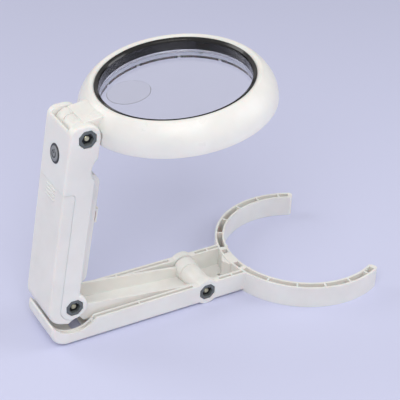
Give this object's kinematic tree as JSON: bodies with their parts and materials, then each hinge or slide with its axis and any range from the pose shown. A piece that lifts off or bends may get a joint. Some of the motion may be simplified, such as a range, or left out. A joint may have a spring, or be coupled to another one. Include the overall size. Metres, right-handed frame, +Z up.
{
  "type": "low vision magnifier",
  "caption": "Folding stand magnifier with a round lamp-lit lens on a battery handle, hinged by a short link to an open ring base.",
  "frame": {"origin": "underside of the base ring at the middle of its closed side, on the surface the magnifier stands on", "axes": "+X from the handle along the tray towards the open ring, +Z up, the stand is symmetric about the XZ plane"},
  "size_m": [0.2625, 0.1428, 0.1988],
  "materials": {
    "white_shell": "warm white satin ABS moulding",
    "bezel_black": "piano-black gloss, faint scratches",
    "hinge_grey": "mid-grey moulded bezel, lighter rim",
    "bolt_steel": "blackened steel with worn edges",
    "nut_steel": "plated steel",
    "washer_nylon": "natural nylon",
    "pad_rubber": "soft black rubber",
    "clear_lens": "clear optical acrylic",
    "clear_segment": "clear optical acrylic",
    "lamp_cover": "warm white satin moulding",
    "led_board": "white solder mask",
    "led_lamp": "clear epoxy over a yellowish chip",
    "screw_steel": "black zinc",
    "button_grey": "grey moulding with a printed power sign",
    "button_ring": "dark grey moulding",
    "circuit_green": "green solder mask",
    "switch_black": "black moulding",
    "cell_sleeve": "shrink sleeve",
    "contact_metal": "nickel plated spring steel"
  },
  "bodies": {
    "base": {"base_frame": "white_shell", "foot_pads": "pad_rubber", "base_hinge_bezels": "hinge_grey", "base_hinge_bolt": "bolt_steel", "base_hinge_nut": "nut_steel", "base_hinge_washers": "washer_nylon"},
    "link": {"link": "white_shell"},
    "arm": {"arm_housing": "white_shell", "arm_inner_cover": "white_shell", "arm_cover_screws": "screw_steel", "elbow_bezels": "hinge_grey", "elbow_bolt": "bolt_steel", "elbow_nut": "nut_steel", "elbow_washers": "washer_nylon", "head_hinge_bezels": "hinge_grey", "head_hinge_bolt": "bolt_steel", "head_hinge_nut": "nut_steel", "head_hinge_washers": "washer_nylon", "battery_cells": "cell_sleeve", "contact_plates": "contact_metal", "contact_springs": "contact_metal", "switch_board": "circuit_green", "push_switch": "switch_black", "button_ring": "button_ring"},
    "head": {"head_housing": "white_shell", "lens_bezel": "bezel_black", "main_lens": "clear_lens", "reading_segment": "clear_segment", "led_board": "led_board", "led_lamps": "led_lamp", "lamp_cover": "lamp_cover", "head_screws": "screw_steel"},
    "battery_cover": {"battery_cover": "white_shell"},
    "power_button": {"power_button": "button_grey"}
  },
  "joints": [
    {"name": "link_raise", "type": "hinge", "parent": "base", "child": "link", "pos_m": [-0.034, 0, 0.0106], "axis": [0, 1, 0], "range_deg": [0, 60]},
    {"name": "arm_fold", "type": "hinge", "parent": "link", "child": "arm", "pos_m": [-0.14462, 0, 0.0311], "axis": [0, -1, 0], "range_deg": [-40, 0]},
    {"name": "head_tilt", "type": "hinge", "parent": "arm", "child": "head", "pos_m": [-0.13303, 0, 0.16699], "axis": [0, -1, 0], "range_deg": [0, 75]},
    {"name": "cover_slide", "type": "slide", "parent": "arm", "child": "battery_cover", "axis": [-0.1374, 0, -0.9905], "range_m": [0, 0.003]},
    {"name": "button_press", "type": "slide", "parent": "arm", "child": "power_button", "axis": [0.9905, 0, -0.1374], "range_m": [0, 0.0012], "stiffness_N_per_m": 900, "springref_m": -0.0006}
  ]
}
